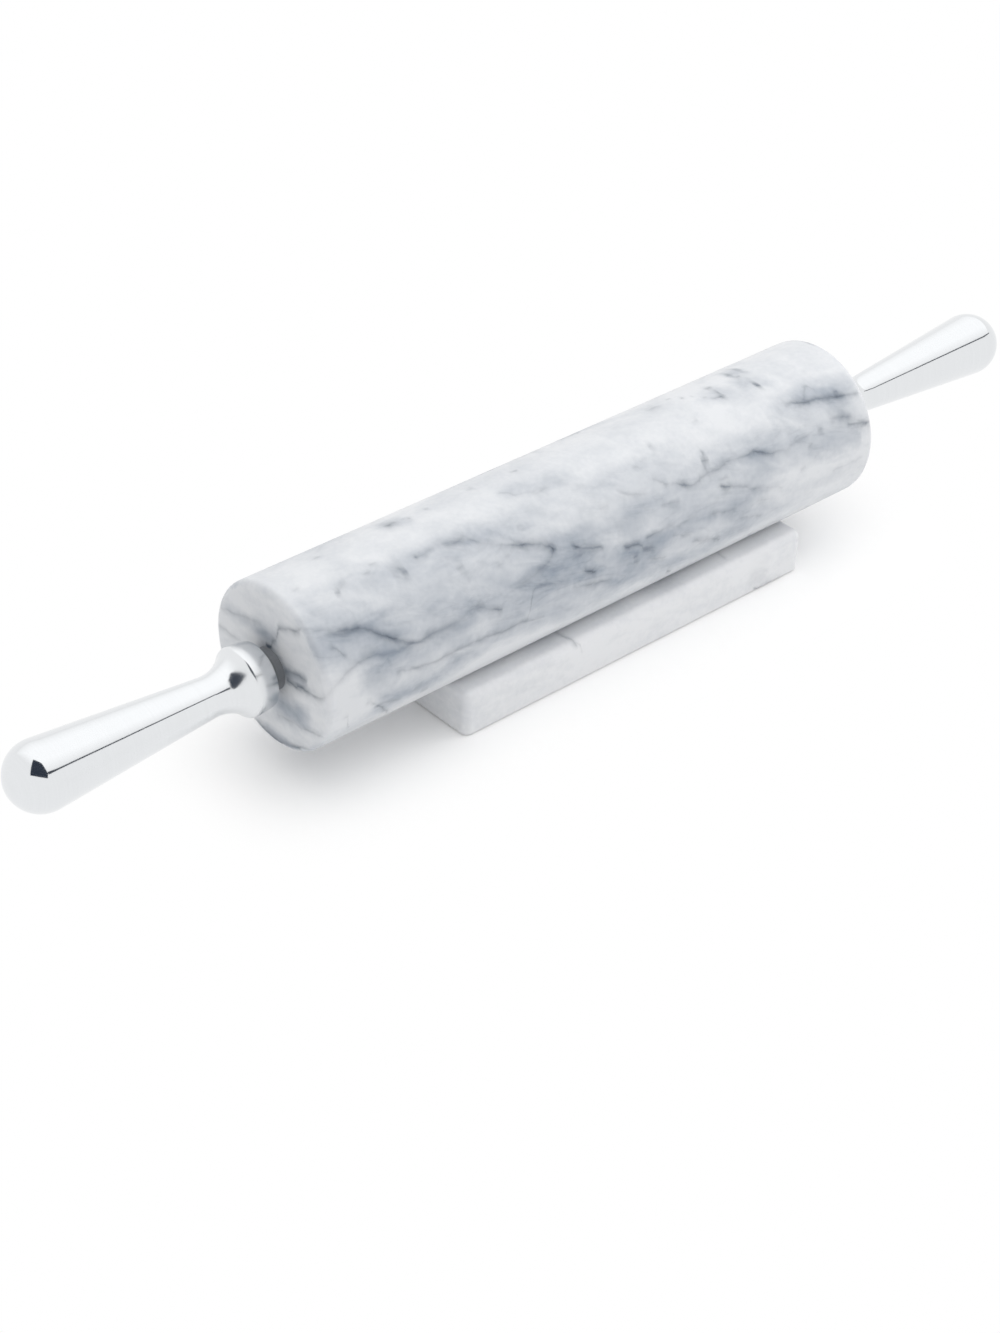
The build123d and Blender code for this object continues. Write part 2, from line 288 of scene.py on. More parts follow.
# Veins of the barrel's side: along the pin in millimetres, and round it from its front line upwards
BARREL_SIDE_VEINS = (
    # The strong vein from the left rim down to the front
    Vein(
        2.1,
        (
            (-128, 28.5, 0.15), (-124, 26.5, 0.25), (-120, 24.5, 0.6), (-117, 23, 0.8), (-114, 22, 0.85),
            (-110, 21.5, 0.8), (-107, 20, 0.65), (-104.5, 18, 0.75), (-102, 15.5, 1.0), (-100, 14, 1.2),
            (-97, 12.5, 0.75), (-94, 10.5, 0.6), (-92, 9.5, 0.6), (-88, 8.8, 0.55), (-83, 9.2, 0.5),
            (-78, 9, 0.45), (-73, 9.2, 0.3), (-70, 10, 0.2), (-65, 11, 0.3), (-62, 10.5, 0.2),
        ),
    ),
    Vein(
        1.3,
        (
            (-128, 5, 0.2), (-126, 6.5, 0.25), (-122, 8.5, 0.3), (-118, 10.5, 0.35), (-112, 11.5, 0.35),
            (-107, 11, 0.35), (-103, 9.5, 0.25), (-96, 9, 0.2), (-92, 9.3, 0.2),
        ),
    ),
    Vein(1.2, ((-121.5, 19, 0.35), (-120, 17.5, 0.5), (-118, 15.5, 0.2))),
    # Veins low on the front, left end
    Vein(
        1.3,
        (
            (-112, -4.5, 0.4), (-110, -6, 0.5), (-107, -8.5, 0.55), (-105, -11, 0.6), (-104, -12.5, 0.5),
            (-101, -16, 0.4), (-98, -20, 0.3),
        ),
    ),
    Vein(1.2, ((-107, -8.5, 0.3), (-102, -10, 0.35), (-97, -11.5, 0.2))),
    Vein(1.2, ((-121, -6.5, 0.25), (-119, -11, 0.35), (-118, -14, 0.2))),
    # The long thin vein along the front
    Vein(
        1.2,
        (
            (-100, 2, 0.25), (-95, 0.5, 0.4), (-90, -0.5, 0.5), (-85, -1, 0.5), (-79, -0.8, 0.45),
            (-72, -1.2, 0.4), (-64, -0.8, 0.45), (-58.4, -1.3, 0.5), (-52.9, -2.3, 0.5), (-47.3, -2.3, 0.5),
            (-42.5, -3, 0.45), (-36, -4.4, 0.25),
        ),
    ),
    # The hook near the middle: its upper limb, its tip and its lower limb
    Vein(
        1.9,
        (
            (-78, 34.5, 0.1), (-75, 34.8, 0.25), (-70, 35.4, 0.2), (-66, 35, 0.3), (-60, 34, 0.45),
            (-57.5, 34.5, 0.35), (-55.5, 32.5, 0.3), (-52, 29.5, 0.3), (-47, 27, 0.5), (-43, 25, 0.75),
            (-40, 24, 1.0), (-37.5, 23, 1.2), (-34, 21.8, 1.0), (-31, 20.8, 0.8), (-28.5, 19, 0.7),
            (-27.5, 18, 0.4),
        ),
    ),
    Vein(
        1.9,
        (
            (-50, 11, 0.15), (-44, 12.2, 0.35), (-40, 12.6, 0.35), (-36, 13.2, 0.4), (-32, 14.6, 0.45),
            (-29, 16.3, 0.5), (-27.5, 17.8, 0.5),
        ),
    ),
    Blot(-46.6, 22.2, (1.2, 2.0), 0.35),
    Blot(-50, 20.6, (3.0, 1.0), 0.3),
    Vein(1.5, ((-20, 16, 0.5), (-18.5, 15.1, 0.9), (-15.4, 13.3, 0.6), (-9.1, 11.6, 0.8), (-7.5, 10.8, 0.3))),
    Vein(1.0, ((-22, 12, 0.2), (-18.9, 11.9, 0.4), (-16, 11.8, 0.2))),
    Vein(1.5, ((-18, 5.8, 0.2), (-16.8, 5.3, 0.7), (-14.6, 4.5, 0.8), (-12.6, 3.6, 0.4))),
    Vein(1.3, ((-23, 1.3, 0.2), (-18, 0.3, 0.35), (-11.9, -0.9, 0.8), (-8, -2, 0.4), (-5, -3, 0.2))),
    Vein(1.4, ((-64, 10.2, 0.2), (-60, 8.5, 0.4), (-57.5, 7.6, 0.7), (-56, 7.1, 0.95), (-54.8, 6.6, 0.3))),
    # The loop under the hook
    Vein(
        1.1,
        (
            (-43.9, -2.3, 0.2), (-42.6, -0.5, 0.4), (-42.1, 2, 0.5), (-41.8, 4.5, 0.55), (-40.8, 6.8, 0.45),
            (-39.7, 7.8, 0.35), (-37.5, 8, 0.35), (-35.5, 7.8, 0.35), (-30.7, 6.4, 0.3), (-25, 4.6, 0.2),
        ),
    ),
    # The dark cluster right of the middle, and the streaks round it
    Vein(
        1.4,
        (
            (1, 8.4, 0.2), (2, 8, 0.6), (4.2, 7.4, 0.8), (8.3, 6, 0.7), (10.4, 3.9, 0.9), (12.5, 3.1, 0.95),
            (14.5, 2.5, 0.6), (16, 2.2, 0.1),
        ),
    ),
    Blot(7, -0.2, (1.8, 1.1), 0.7),
    Blot(6.3, 1.9, (1.6, 1.1), 0.7),
    Vein(
        1.1,
        (
            (11.5, 7.1, 0.3), (13.9, 7.4, 0.5), (17.4, 7.4, 0.5), (22, 7.4, 0.2), (27.8, 6.4, 0.25),
            (36, 6.4, 0.2),
        ),
    ),
    Vein(1.2, ((12, -1.4, 0.1), (14, -2, 0.4), (17.4, -3, 0.5), (21.5, -4.4, 0.3))),
    Vein(1.1, ((24.5, 3.4, 0.1), (25.7, 3.2, 0.35), (31.2, 1.2, 0.35), (34, 0.6, 0.1))),
    # The long vein along the right half
    Vein(
        1.3,
        (
            (22.5, 25, 0.2), (24.3, 24, 0.6), (26.4, 22, 0.5), (30.5, 20.6, 0.35), (34, 18.9, 0.7),
            (37.5, 17.5, 0.5), (40.3, 17.5, 0.6), (42.4, 18.9, 0.75), (45.1, 19.2, 0.5), (48.6, 18.9, 0.5),
            (55.6, 19.6, 0.4), (62.5, 18.9, 0.45), (64.2, 18.5, 0.5), (68.3, 18.9, 0.6), (71.8, 17.5, 0.8),
            (73.9, 16.8, 0.6), (76.7, 15.8, 0.55), (79.4, 15.4, 0.35), (83.6, 14.4, 0.3), (87.8, 15.4, 0.3),
            (94.7, 15.8, 0.2),
        ),
    ),
    Blot(46.9, 23.4, (1.9, 1.9), 1.0),
    Blot(47.3, 26.5, (1.0, 2.6), 0.5),
    Blot(45.8, 21, (1.2, 2.0), 0.4),
    Vein(1.5, ((6.5, 25.8, 0.1), (7, 25.5, 0.4), (11.1, 23.1, 0.5), (14.6, 22, 0.4), (17, 21.6, 0.1))),
    Vein(
        1.2,
        (
            (48.5, 12.6, 0.1), (49.7, 12.3, 0.5), (52, 11.6, 0.8), (54.5, 10.9, 0.4), (59.7, 8.8, 0.45),
            (64.6, 6.7, 0.5), (67.6, 5.3, 0.4), (73.2, 3.6, 0.25), (77.4, 2.2, 0.3), (79.4, 1.2, 0.15),
        ),
    ),
    Vein(1.2, ((41.5, 5.4, 0.1), (43, 5, 0.4), (47.2, 3.9, 0.7), (50.7, 2.9, 0.4), (55.6, 2.5, 0.2))),
    Vein(1.4, ((35, -3.4, 0.2), (38.2, -4.4, 0.5), (43, -6.1, 0.6), (47.9, -8.2, 0.6), (50, -9.2, 0.1))),
    Blot(26.7, -14.8, (2.2, 1.8), 0.7, -1.0),
    Vein(1.1, ((58, -3.2, 0.1), (60, -3.7, 0.3), (64.2, -4.8, 0.4), (70.4, -6.5, 0.2))),
    Vein(1.1, ((66, 0.6, 0.1), (67, 0.5, 0.3), (71.8, -0.2, 0.2))),
    Vein(1.1, ((21.5, 15.8, 0.1), (23, 15.4, 0.25), (26.4, 14.7, 0.3), (30, 14.5, 0.15))),
    Vein(1.0, ((50, 14.7, 0.1), (52, 14.7, 0.3), (54, 14.5, 0.1))),
    # The dark vein and its branch near the right rim
    Vein(
        1.5,
        (
            (90.5, 30.4, 0.1), (92.6, 30, 0.4), (96.8, 28.6, 0.7), (98.9, 27.9, 1.0), (101, 27.5, 0.95),
            (104.4, 26.9, 0.7), (108.6, 26.2, 0.6), (112.8, 25.2, 0.7), (116.3, 24.1, 0.85),
            (119.7, 23.4, 0.5), (124.6, 22.7, 0.4), (128, 22.3, 0.3),
        ),
    ),
    Vein(
        1.1,
        ((100.6, 29, 0.3), (101.7, 29.7, 0.4), (104.4, 32.1, 0.5), (105.5, 32.8, 0.5), (107.2, 30.7, 0.3)),
    ),
    Blot(115.6, 26.2, (1.4, 1.1), 0.5),
    Vein(
        2.4,
        (
            (107, 18.4, 0.1), (108.6, 17.9, 0.45), (113, 17, 0.5), (117, 15.8, 0.6), (120, 13.8, 0.5),
            (123.9, 11.6, 0.4), (127, 10.5, 0.3),
        ),
    ),
    Vein(1.2, ((115.5, 13.4, 0.3), (117, 13, 0.6), (122.5, 11.6, 0.6), (126, 10.9, 0.5), (128, 10.7, 0.3))),
    Blot(101.7, 15.8, (2.0, 1.5), 0.4),
    # Spots high on the barrel, right half
    Blot(61, 52.3, (1.4, 1.3), 0.7),
    Blot(63.9, 50.5, (1.1, 1.0), 0.4),
    Blot(66.7, 47, (1.5, 1.0), 0.4),
    Blot(72.5, 50.9, (2.1, 1.7), 0.8),
    Blot(72.2, 43.9, (1.9, 1.9), 0.85),
    Vein(1.2, ((67.5, 45.1, 0.2), (68.7, 44.6, 0.5), (70.5, 44.2, 0.6), (72.2, 43.9, 0.5))),
    Blot(72.8, 46.2, (0.9, 1.8), 0.5),
    Blot(88.5, 41.5, (1.4, 1.5), 0.7),
    Blot(88.6, 42.6, (1.2, 3.2), 0.5),
    Blot(86, 54, (1.4, 4.2), 0.5),
    Blot(85.3, 53.3, (0.9, 1.3), 0.4),
    Blot(87.8, 49.8, (1.6, 1.1), 0.4),
    Blot(91.5, 56, (1.5, 4.6), 0.55),
    Blot(57.6, 55.8, (1.5, 1.2), 0.3),
    Blot(54.2, 38.4, (2.0, 1.4), 0.25),
    Blot(126, 52, (1.0, 3.5), 0.4),
    Vein(1.0, ((107.2, -2, 0.2), (114, -2.3, 0.1), (121, -2.3, 0.2))),
    Blot(95.4, 12.3, (2.0, 1.0), 0.25),
    Blot(89.9, 5.3, (2.0, 1.0), 0.25),
    Blot(48, 54, (4.5, 2.5), 0.3),
    Blot(30.5, 36.6, (1.0, 2.5), 0.3),
    Blot(23.6, 32.8, (2.0, 1.0), 0.2),
    Blot(18.8, 31.8, (2.0, 1.0), 0.2),
    Blot(27.8, 52, (2.0, 1.2), 0.15),
    # Spots and patches of the left half
    Blot(-109.5, 35, (1.5, 1.3), 0.55),
    Blot(-107, 36.5, (4.0, 2.0), 0.25, 0.5),
    Blot(-121, 42.5, (3.0, 1.5), 0.2),
    Blot(-96, 37, (1.8, 1.0), 0.3),
    Blot(-92, 39.5, (2.5, 1.0), 0.25),
    Blot(-86, 33, (3.5, 4.0), 0.35),
    Blot(-84.5, 32, (1.2, 2.0), 0.4),
    Blot(-77, 35, (1.4, 0.9), 0.6),
    Blot(-73, 54, (4.5, 2.8), 0.5),
    Blot(-73.5, 53.5, (1.5, 1.3), 0.3),
    Blot(-66, 52.5, (1.4, 1.2), 0.35),
    Blot(-104, 53, (3.0, 1.2), 0.25),
    Blot(-65, 25, (2.5, 2.2), 0.35),
    Blot(-90, -9, (3.0, 2.0), 0.35),
    Blot(-86, -14, (2.0, 2.0), 0.35),
    Vein(1.0, ((-33.4, 45, 0.15), (-30.7, 43.6, 0.3), (-27.9, 40.8, 0.2), (-22, 39.5, 0.15))),
    Blot(-20, 38.4, (5.0, 1.5), 0.3),
    Blot(-18.9, 52.6, (1.8, 1.2), 0.45),
    Blot(-38, 54, (2.5, 2.0), 0.2),
    Blot(-57.8, 53.3, (1.5, 1.5), 0.25),
    Blot(-6.4, 33.2, (5.0, 1.5), 0.15),
    Blot(-36.2, 29.3, (2.0, 1.2), 0.3),
    Blot(-1.5, 23, (3.0, 1.2), 0.35),
)

# Broad blue-grey clouds of the barrel's side, under the veins
BARREL_SIDE_CLOUDS = (
    Vein(
        13.0,
        (
            (-128, 22, 0.5), (-112, 21, 0.7), (-92, 19, 0.5), (-70, 19, 0.4), (-52, 21, 0.6), (-38, 20, 0.8),
            (-22, 17, 0.6), (0, 18, 0.5), (30, 19, 0.5), (70, 18, 0.5), (95, 18, 0.5), (112, 18, 0.6),
            (128, 15, 0.6),
        ),
    ),
    Vein(
        12.0,
        (
            (-114, 6, 0.2), (-100, 8, 0.6), (-84, 7, 0.45), (-60, 8, 0.5), (-40, 8, 0.7), (-15, 5, 0.7),
            (10, 2, 0.75), (30, 4, 0.5), (55, 4, 0.5), (75, 5, 0.25), (88, 6, 0.05),
        ),
    ),
    Vein(9.0, ((-110, -8, 0.1), (-92, -9, 0.7), (-80, -9, 0.5), (-64, -8, 0.1))),
    Vein(
        10.0,
        (
            (-78, -4, 0.1), (-56, -5, 0.5), (-38, -5, 0.5), (-20, -7, 0.45), (8, -8, 0.6), (40, -9, 0.6),
            (76, -8, 0.3), (88, -8, 0.05),
        ),
    ),
    Vein(8.0, ((84, 11, 0.05), (104, 9, 0.45), (120, 7, 0.3))),
    Vein(
        9.0,
        (
            (-128, 34, 0.15), (-80, 33, 0.35), (-55, 32, 0.5), (-20, 31, 0.35), (20, 30, 0.3),
            (42, 31, 0.05),
        ),
    ),
    Vein(9.0, ((82, 28, 0.1), (96, 30, 0.5), (108, 29, 0.6), (124, 26, 0.4))),
    Vein(8.0, ((62, 46, 0.05), (72, 45, 0.4), (88, 44, 0.4), (96, 40, 0.05))),
    Vein(7.0, ((-34, 44, 0.05), (-20, 42, 0.3), (-4, 39, 0.1))),
    Blot(-72, 54, (9.0, 7.0), 0.4),
    Blot(88.5, 54, (7.0, 8.0), 0.4),
)

# Veins of the barrel's left end, with some painted shade beside the collar: across the pin and up it, from
# its axis
BARREL_LEFT_VEINS_AND_SHADE = (
    Vein(1.2, ((17, 1.7, 0.15), (22, 1.5, 0.3), (28, 1.5, 0.3))),
    Vein(1.1, ((5, 14.5, 0.2), (8, 14, 0.4), (14, 12.8, 0.35), (20, 11, 0.35), (26, 10, 0.25))),
    Vein(
        1.7,
        (
            (-17, 25, 0.6), (-15.5, 23, 0.75), (-13.5, 21.5, 0.7), (-11, 20.5, 0.5), (-8, 19.5, 0.45),
            (-5, 18, 0.6), (-4, 16, 0.65), (-3, 13, 0.7), (-1, 11, 0.75), (1, 8, 0.7),
        ),
    ),
    Vein(
        1.9,
        (
            (-28, 4, 0.4), (-26, 2.8, 0.6), (-22, 2, 0.6), (-18, 1.2, 0.9), (-15, 0.8, 0.9), (-12, -0.5, 1.0),
            (-9, 0, 0.9),
        ),
    ),
    # Partly painted shade from the collar, partly a vein: the dark streak running into the collar
    Vein(1.8, ((-18, 5, 0.5), (-15, 5, 0.7), (-10, 4, 0.8), (-6, 2, 0.7))),
    Vein(
        1.2,
        (
            (-26, -12.5, 0.3), (-22, -13.5, 0.4), (-18, -14.8, 0.45), (-12, -15.8, 0.45), (-6, -16.5, 0.5),
            (-3, -17, 0.4),
        ),
    ),
    Vein(
        1.6,
        (
            (-19, -23, 0.7), (-15, -24.2, 0.8), (-12, -25, 0.8), (-6, -27, 0.75), (-1, -27.8, 0.9),
            (4, -27.5, 0.8), (9, -26, 0.5),
        ),
    ),
)

BARREL_LEFT_CLOUDS_AND_SHADE = (
    Blot(-10, -12, (14.0, 9.0), 0.7, -0.2),
    # Partly painted shade from the collar, partly grey stone: the cloud to the right of the collar
    Blot(-9, 3, (12.0, 5.0), 0.6),
    Blot(2, 12, (9.0, 8.0), 0.5),
    Blot(12, 12, (16.0, 5.0), 0.35),
    Blot(-10, -26, (20.0, 3.0), 0.5),
)

# The right end is hidden in the photograph: its veins only carry on those that reach its rim
BARREL_RIGHT_VEINS = (
    Vein(
        1.5,
        ((-21, 20.5, 0.4), (-14, 18, 0.6), (-8, 16.5, 0.5), (2, 17, 0.3), (12, 13, 0.4), (24, 12, 0.2)),
    ),
    Vein(1.2, ((-28, 10.7, 0.5), (-24, 9, 0.5), (-18, 8.2, 0.4), (-13, 6.5, 0.3), (-8, 4, 0.3))),
    Vein(1.3, ((-16, -14, 0.2), (-6, -17, 0.5), (4, -16, 0.5), (15, -19, 0.3))),
    Vein(1.0, ((8, 1, 0.1), (16, -2, 0.4), (27, -4, 0.3))),
    Blot(-12, -22, (5.0, 2.0), 0.5),
)

# Veins of the cradle's front, along it and up it, with a line of painted shade at its foot, and veins of its
# top, across it and along it
CRADLE_FRONT_VEINS_AND_SHADE = (
    Vein(1.1, ((-19, 19, 0.5), (-18, 18.5, 0.45), (-16.5, 17, 0.35), (-15, 15.5, 0.3), (-14, 12, 0.15))),
    Blot(75, 7, (7.0, 8.0), 0.12),
    # Painted shade: a dark line along the bottom edge near the right end, where the slab stands just off the
    # floor
    Vein(
        0.9,
        ((72.5, 1.4, 0.3), (73.5, 1, 0.8), (76, 1, 0.8), (78, 0.8, 0.5), (85, 0.8, 0.5), (87, 0.8, 0.1)),
    ),
)

CRADLE_TOP_VEINS = (
    Vein(1.0, ((-26.5, -16.5, 0.5), (-22, -17.4, 0.45), (-17, -18.5, 0.35), (-14, -19, 0.1))),
    Vein(1.0, ((-22.5, 60.5, 0.1), (-21, 61, 0.3), (-17, 61.5, 0.3), (-15, 62, 0.1))),
)


@dataclass(frozen=True)
class Finish:
    """A surface finish that can be put on any piece."""

    name: str

    def shade(self, tree: Tree) -> bpy.types.Node:
        """Adds the finish's nodes to a tree.

        Args:
            tree: An empty node tree.

        Returns:
            The shader node that the surface shows.
        """
        raise NotImplementedError

    def material(self) -> bpy.types.Material:
        """Makes the finish as a material, or returns it if it is made already.

        Returns:
            The material.
        """
        made = bpy.data.materials.get(self.name)
        if made is None:
            made = bpy.data.materials.new(self.name)
            made.use_nodes = True
            made.node_tree.nodes.clear()
            shader = self.shade(made.node_tree)
            add_node(made.node_tree, "OutputMaterial", {"Surface": shader.outputs[0]})
        return made

    def dress(self, piece: bpy.types.Object) -> None:
        """Puts the finish on a piece, in place of what it had.

        Args:
            piece: A mesh object.
        """
        piece.data.materials.clear()
        piece.data.materials.append(self.material())
        LOG.info("%s is finished in %s", piece.name, self.name)


@dataclass(frozen=True)
class Marble(Finish):
    """White Carrara-type marble, turned or sawn and honed.

    Calcite lets a little light in, and the honed face has a soft satin sheen, not a mirror.
    """

    white: str = "#dddfe2"
    cloud: str = "#969fab"
    vein: str = "#535e6c"
    cloud_level: float = 0.05
    cloud_contrast: float = 1.1
    cloud_break: float = 1.4
    # Streaks: length and thickness in millimetres, and how much finer noise they hold
    broad_streak: tuple[float, float, float] = (36.0, 14.0, 2.0)
    fine_streak: tuple[float, float, float] = (14.0, 6.0, 2.0)
    fine_share: float = 0.4
    # Threads: length and distance apart in millimetres, then breadth and depth
    thread_size: tuple[float, float] = (30.0, 10.0)
    thread_breadth: float = 0.04
    threads: float = 0.2
    # The least and the most that a drawn vein shows, as the streaks break it up
    vein_break: tuple[float, float] = (0.3, 1.05)
    grain: float = 0.12
    sheen_change: float = 0.05
    roughness: float = 0.34
    ior: float = 1.49
    inside_light: float = 0.12
    light_depth: float = 3.0
    bed_tilt: tuple[float, float, float] = (0.2, 0.186, 0.96)
    warp: float = 1.6

    def millimetres(self, tree: Tree) -> Socket:
        """Adds the place on the piece, in millimetres from the pin's axis.

        Args:
            tree: The node tree.

        Returns:
            The place as a vector.
        """
        place = add_node(tree, "TexCoord").outputs["Object"]
        return add_node(
            tree,
            "Mapping",
            {"Vector": place, "Scale": (1 / MM,) * 3, "Location": (0.0, 0.0, -AXIS_HEIGHT)},
        ).outputs[0]

    def beds(self, tree: Tree, place: Socket) -> Socket:
        """Adds the place along the stone's beds: millimetres in the bed twice, then across it.

        Args:
            tree: The node tree.
            place: The place in millimetres.

        Returns:
            The place as a vector, across the beds in Z.
        """
        across = Vector(self.bed_tilt).normalized()
        turn = across.rotation_difference(Vector((0.0, 0.0, 1.0))).to_euler()
        return add_node(tree, "Mapping", {"Vector": place, "Rotation": tuple(turn)}).outputs[0]

    def streaks(self, tree: Tree, bed: Socket, length: float, thickness: float, detail: float) -> Socket:
        """Adds noise drawn out along the beds.

        Args:
            tree: The node tree.
            bed: The place along the beds.
            length: How long a streak is, in millimetres.
            thickness: How thick a streak is, in millimetres.
            detail: How much finer noise it holds.

        Returns:
            The noise, about 0.5 on average.
        """
        drawn = add_node(tree, "Mapping", {"Vector": bed, "Scale": (1 / length, 1 / length, 1 / thickness)})
        noise = add_node(
            tree,
            "TexNoise",
            {"Vector": drawn.outputs[0], "Scale": 1.0, "Detail": detail, "Roughness": 0.6, "Distortion": 0.6},
        )
        return noise.outputs["Fac"]

    def ridges(
        self, tree: Tree, bed: Socket, size: tuple[float, float], breadth: float, depth: float
    ) -> Socket:
        """Adds thin veins: they run wherever a drawn-out noise crosses its middle value.

        Args:
            tree: The node tree.
            bed: The place along the beds.
            size: How long and how far apart the veins are, in millimetres.
            breadth: How far from its middle value the noise still shows a vein.
            depth: How dark a vein is in its middle.

        Returns:
            How dark the veins are.
        """
        length, apart = size
        finer = (1 / length, 1 / length, 1 / apart)
        spread = add_node(tree, "Mapping", {"Vector": bed, "Scale": finer}).outputs[0]
        folds = add_node(
            tree,
            "TexNoise",
            {"Vector": spread, "Scale": 1.0, "Detail": 5.0, "Roughness": 0.55, "Distortion": 0.9},
        ).outputs["Fac"]
        centred = add_node(tree, "Math", {0: folds, 1: 0.5}, operation=Sum.SUBTRACT).outputs[0]
        away = add_node(tree, "Math", {0: centred}, operation=Sum.ABSOLUTE).outputs[0]
        return add_node(
            tree,
            "MapRange",
            {"Value": away, "From Max": breadth, "To Min": depth, "To Max": 0.0},
        ).outputs[0]

    def warped(self, tree: Tree, place: Socket) -> Socket:
        """Adds the small wander that keeps drawn veins from looking ruled.

        Args:
            tree: The node tree.
            place: The place in millimetres.

        Returns:
            The place, moved by up to about a millimetre and a half.
        """
        noise = add_node(
            tree,
            "TexNoise",
            {"Vector": place, "Scale": 0.16, "Detail": 4.0, "Roughness": 0.62},
        ).outputs["Color"]
        push = add_node(tree, "VectorMath", {0: noise, 1: (0.5, 0.5, 0.5)}, operation=Sum.SUBTRACT)
        sized = add_node(
            tree,
            "VectorMath",
            {0: push.outputs[0], "Scale": 2 * self.warp},
            operation=Sum.SCALE,
        )
        return add_node(tree, "VectorMath", {0: place, 1: sized.outputs[0]}, operation=Sum.ADD).outputs[0]

    def drawn(self, tree: Tree, place: Socket) -> tuple[Socket | float, Socket | float]:
        """Adds the veins and clouds drawn for this piece.

        Args:
            tree: The node tree.
            place: The place in millimetres, warped.

        Returns:
            How dark the veins are, and how grey the clouds are.
        """
        return 0.0, 0.0

    def shade(self, tree: Tree) -> bpy.types.Node:
        """Adds the honed stone, and returns its shader."""
        place = self.millimetres(tree)
        bed = self.beds(tree, place)
        veins, clouds = self.drawn(tree, self.warped(tree, place))
        broad = self.streaks(tree, bed, *self.broad_streak)
        fine = self.streaks(tree, bed, *self.fine_streak)
        mottle = add_node(tree, "TexNoise", {"Vector": place, "Scale": 0.55, "Detail": 3.0}).outputs["Fac"]
        # Broad clouds, streaks in them, and the sugary grain of the stone
        both = add_node(tree, "Mix", {"Factor": self.fine_share, "A": broad, "B": fine}).outputs[0]
        spread = 0.5 / self.cloud_contrast
        grey = add_node(
            tree,
            "MapRange",
            {
                "Value": both,
                "From Min": 0.5 - spread,
                "From Max": 0.5 + spread,
                "To Min": self.cloud_level - 0.5,
                "To Max": self.cloud_level + 0.5,
            },
            clamp=False,
        ).outputs[0]
        # A drawn cloud is thicker and thinner along the beds
        patchy = add_node(
            tree,
            "MapRange",
            {
                "Value": both,
                "From Min": 0.5 - spread,
                "From Max": 0.5 + spread,
                "To Min": 1.0 - self.cloud_break / 2,
                "To Max": 1.0 + self.cloud_break / 2,
            },
        ).outputs[0]
        clouds = add_node(tree, "Math", {0: clouds, 1: patchy}, operation=Sum.MULTIPLY).outputs[0]
        threads = self.ridges(tree, bed, self.thread_size, self.thread_breadth, self.threads)
        threads = add_node(tree, "Math", {0: threads, 1: clouds}, operation=Sum.MULTIPLY).outputs[0]
        veins = add_node(tree, "Math", {0: veins, 1: threads}, operation=Sum.ADD).outputs[0]
        grey = add_node(tree, "Math", {0: grey, 1: clouds}, operation=Sum.ADD).outputs[0]
        grain = add_node(
            tree,
            "MapRange",
            {"Value": mottle, "To Min": -self.grain, "To Max": self.grain},
        ).outputs[0]
        grey = add_node(tree, "Math", {0: grey, 1: grain}, operation=Sum.ADD, use_clamp=True).outputs[0]
        least, most = self.vein_break
        broken = add_node(
            tree,
            "MapRange",
            {"Value": fine, "From Min": 0.3, "From Max": 0.62, "To Min": least, "To Max": most},
        ).outputs[0]
        depth = add_node(
            tree,
            "Math",
            {0: veins, 1: broken},
            operation=Sum.MULTIPLY,
            use_clamp=True,
        ).outputs[0]
        body = add_node(
            tree,
            "Mix",
            {"Factor": grey, 6: linear(self.white), 7: linear(self.cloud)},
            data_type="RGBA",
        )
        colour = add_node(
            tree,
            "Mix",
            {"Factor": depth, 6: body.outputs[2], 7: linear(self.vein)},
            data_type="RGBA",
        )
        # Honing leaves the sheen a little uneven
        satin = add_node(
            tree,
            "MapRange",
            {
                "Value": mottle,
                "To Min": self.roughness - self.sheen_change,
                "To Max": self.roughness + self.sheen_change,
            },
        )
        return add_node(
            tree,
            "BsdfPrincipled",
            {
                "Base Color": colour.outputs[2],
                "Roughness": satin.outputs[0],
                "IOR": self.ior,
                "Subsurface Weight": self.inside_light,
                "Subsurface Radius": (1.0, 1.0, 1.1),
                "Subsurface Scale": self.light_depth * MM,
            },
        )


